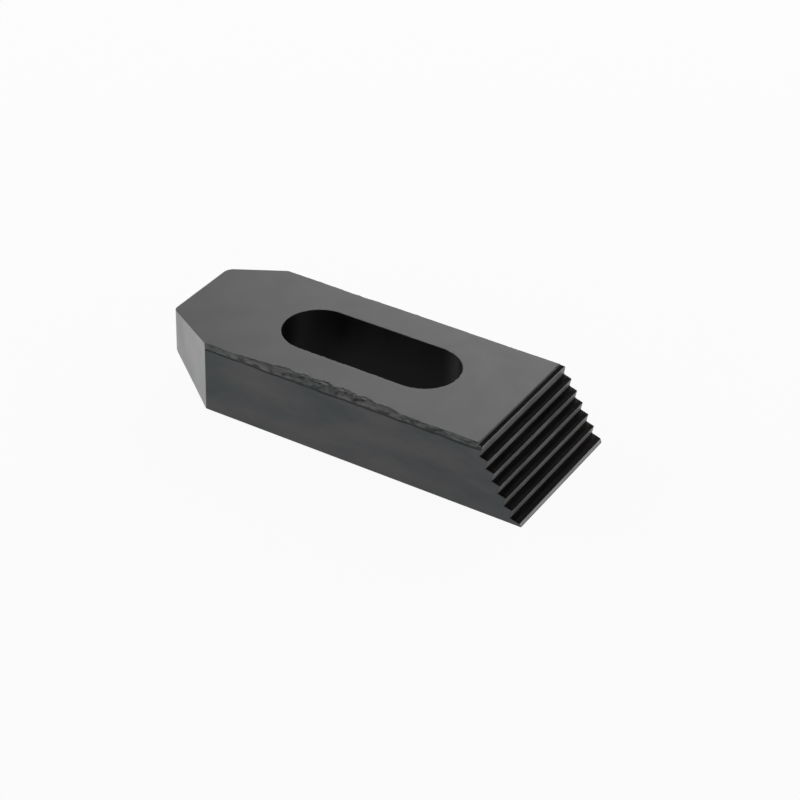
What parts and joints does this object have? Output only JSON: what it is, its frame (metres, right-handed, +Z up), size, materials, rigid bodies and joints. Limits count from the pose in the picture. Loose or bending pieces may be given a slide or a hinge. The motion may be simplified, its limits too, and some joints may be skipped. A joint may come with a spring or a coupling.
{
  "type": "step clamp",
  "caption": "Flat steel strap clamp with a stud slot along its middle, a tapered nose thinned from one face and a sloping end cut with fine steps for a step block.",
  "frame": {"origin": "middle of the clamp's broad lower face, the face it lies on, halfway along its length", "axes": "+Z up, square to the broad faces; +Y along the bar towards the tapered nose, so the stepped end is at -Y; +X across the bar"},
  "size_m": [0.03, 0.0762, 0.014],
  "materials": {
    "black_oxide_steel": "satin"
  },
  "bodies": {
    "root": {"step_clamp": "black_oxide_steel"}
  },
  "joints": []
}
